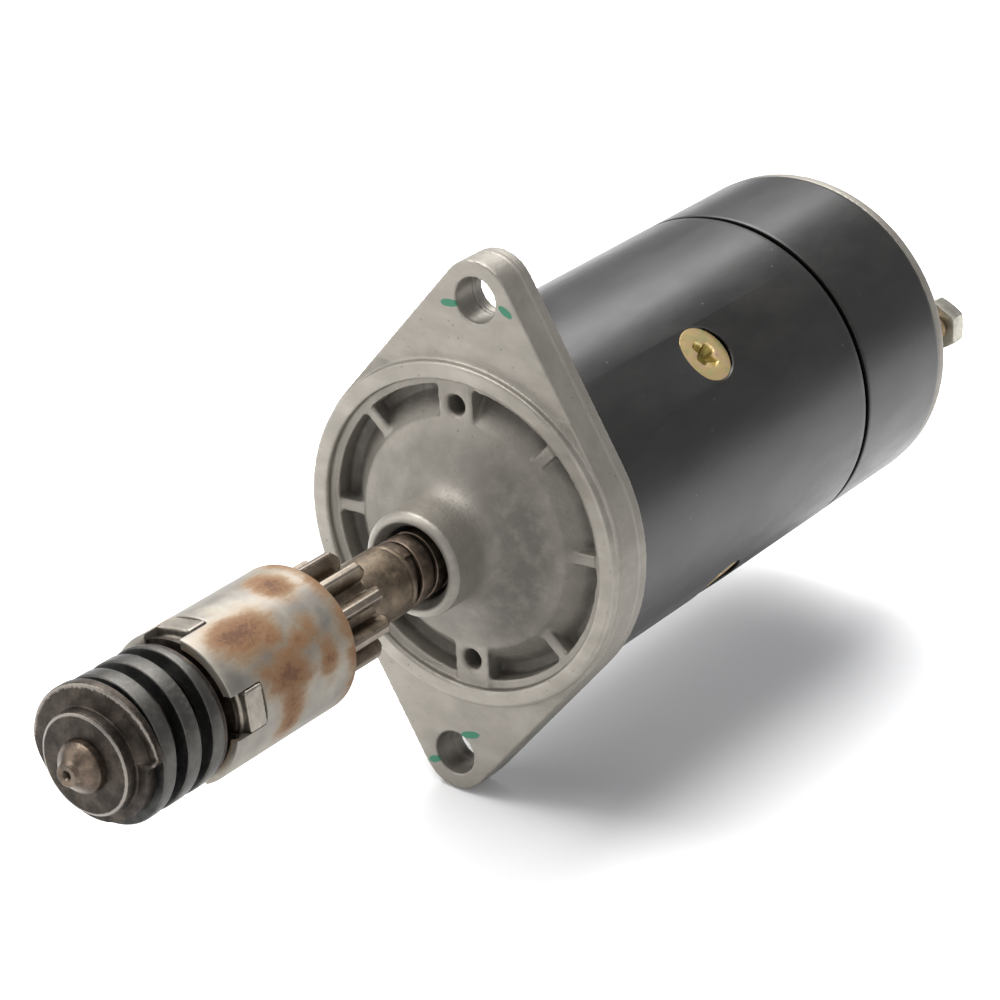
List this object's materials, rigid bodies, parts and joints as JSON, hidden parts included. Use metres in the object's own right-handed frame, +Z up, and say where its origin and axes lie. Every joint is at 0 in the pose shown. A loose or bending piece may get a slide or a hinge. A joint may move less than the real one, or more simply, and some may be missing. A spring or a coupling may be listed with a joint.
{
  "type": "starter motor",
  "caption": "Flange-mounted inertia-drive starter motor with a sliding pinion and barrel, cushion spring, wound armature and sprung brushes.",
  "frame": {"origin": "centre of the mounting flange's front face, on the shaft axis", "axes": "+X along the shaft towards the pinion end, +Z up through the flange's upper ear"},
  "size_m": [0.3301, 0.098, 0.1446],
  "materials": {
    "cast_aluminium": "sand cast, matt",
    "black_paint": "satin black enamel with light scuffs",
    "yellow_zinc": "yellow passivated zinc",
    "bright_zinc": "dull zinc",
    "barrel_steel": "worn plating with rust",
    "worn_steel": "oiled and worn",
    "dark_steel": "oiled, brown patina",
    "spring_steel": "blued, edges rubbed",
    "laminations": "stamped stack",
    "bronze": "sintered",
    "copper": "drawn copper",
    "insulation": "moulded, matt",
    "coil_tape": "varnished cotton tape",
    "carbon": "copper carbon"
  },
  "bodies": {
    "housing": {"drive_end_bracket": "cast_aluminium", "drive_end_bush": "bronze", "yoke": "black_paint", "pole_shoes": "laminations", "pole_screws": "yellow_zinc", "field_coils": "coil_tape", "field_link": "copper", "cover_band": "black_paint", "band_clamp_screw": "bright_zinc", "band_clamp_nut": "bright_zinc", "commutator_end_bracket": "cast_aluminium", "commutator_end_bush": "bronze", "dust_cap": "bright_zinc", "through_bolts": "dark_steel", "through_bolt_washers": "dark_steel", "brush_plate": "insulation", "brush_boxes_earthed": "bright_zinc", "brush_boxes_insulated": "bright_zinc", "brush_box_insulators": "insulation", "brush_springs": "spring_steel", "terminal_stud": "bronze", "terminal_nuts": "bright_zinc", "terminal_washer": "bright_zinc", "terminal_insulator": "insulation", "restraining_spring": "spring_steel", "brush_leads": "copper"},
    "armature": {"armature_shaft": "dark_steel", "armature_core": "laminations", "armature_windings": "copper", "commutator_bars": "copper", "commutator_hub": "insulation", "shaft_thrust_washers": "insulation", "locating_collar": "dark_steel", "main_spring": "spring_steel"},
    "sleeve": {"screwed_sleeve": "dark_steel", "spring_washer": "dark_steel"},
    "nut_carrier": {"nut_thrust_washer": "worn_steel"},
    "pinion_assembly": {"control_nut": "worn_steel", "barrel": "barrel_steel", "retaining_ring": "dark_steel", "pinion": "worn_steel", "restraining_sleeve": "worn_steel"},
    "brush_1_body": {"brush_1": "carbon"},
    "brush_2_body": {"brush_2": "carbon"},
    "brush_3_body": {"brush_3": "carbon"},
    "brush_4_body": {"brush_4": "carbon"}
  },
  "joints": [
    {"name": "armature_spin", "type": "hinge", "parent": "housing", "child": "armature", "pos_m": [0, 0, 0], "axis": [1, 0, 0], "continuous": true},
    {"name": "cushion_slide", "type": "slide", "parent": "armature", "child": "sleeve", "axis": [1, 0, 0], "range_m": [0, 0.004], "stiffness_N_per_m": 60000, "springref_m": -0.001, "deforming": ["main_spring"]},
    {"name": "pinion_travel", "type": "slide", "parent": "sleeve", "child": "nut_carrier", "axis": [-1, 0, 0], "range_m": [0, 0.02], "stiffness_N_per_m": 400, "springref_m": -0.02, "deforming": ["restraining_spring"]},
    {"name": "pinion_turn", "type": "hinge", "parent": "nut_carrier", "child": "pinion_assembly", "pos_m": [0, 0, 0], "axis": [-1, 0, 0], "range_deg": [0, 180.1]},
    {"name": "brush_1_slide", "type": "slide", "parent": "housing", "child": "brush_1_body", "axis": [0, 0.6157, 0.788], "range_m": [0, 0.002], "stiffness_N_per_m": 1500, "springref_m": -0.004, "deforming": ["brush_springs", "brush_leads"]},
    {"name": "brush_2_slide", "type": "slide", "parent": "housing", "child": "brush_2_body", "axis": [0, 0.788, -0.6157], "range_m": [0, 0.002], "stiffness_N_per_m": 1500, "springref_m": -0.004},
    {"name": "brush_3_slide", "type": "slide", "parent": "housing", "child": "brush_3_body", "axis": [0, -0.6157, -0.788], "range_m": [0, 0.002], "stiffness_N_per_m": 1500, "springref_m": -0.004},
    {"name": "brush_4_slide", "type": "slide", "parent": "housing", "child": "brush_4_body", "axis": [0, -0.788, 0.6157], "range_m": [0, 0.002], "stiffness_N_per_m": 1500, "springref_m": -0.004}
  ],
  "couplings": [
    {"joint": "pinion_turn", "follows": "pinion_travel", "rad_per_m": 157.08}
  ]
}
